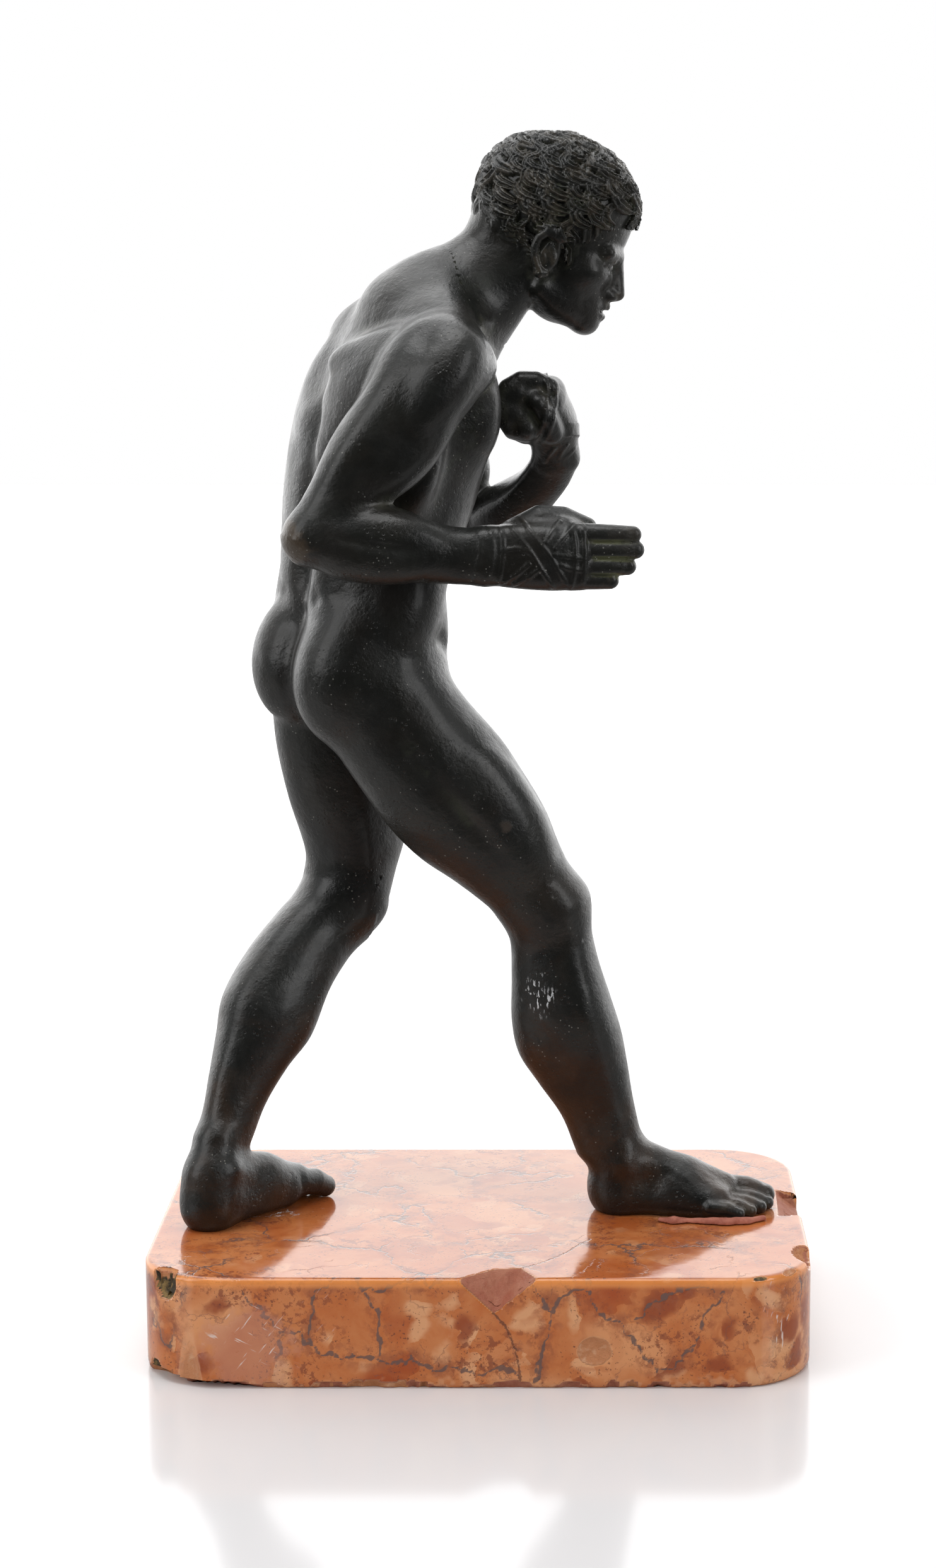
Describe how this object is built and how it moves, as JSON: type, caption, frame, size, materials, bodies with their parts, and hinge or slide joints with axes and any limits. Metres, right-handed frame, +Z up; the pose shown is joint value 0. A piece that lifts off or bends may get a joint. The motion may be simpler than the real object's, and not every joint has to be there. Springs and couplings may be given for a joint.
{
  "type": "bronze boxer statuette on a marble base",
  "caption": "Bronze statuette of a striding young boxer with thong-wrapped hands, standing by its own weight on a chipped salmon-red marble block.",
  "frame": {"origin": "middle of the underside of the marble base", "axes": "+X the way the figure faces and steps, +Y its left side, +Z up"},
  "size_m": [0.163, 0.109, 0.2994],
  "materials": {
    "bronze": "near-black green-brown patina, waxed and glossy",
    "marble": "polished salmon-red breccia with cream patches and grey veins, chipped",
    "filling": "matt reddish filling"
  },
  "bodies": {
    "root": {"bronze_boxer": "bronze", "marble_base": "marble", "red_filling": "filling"}
  },
  "joints": []
}
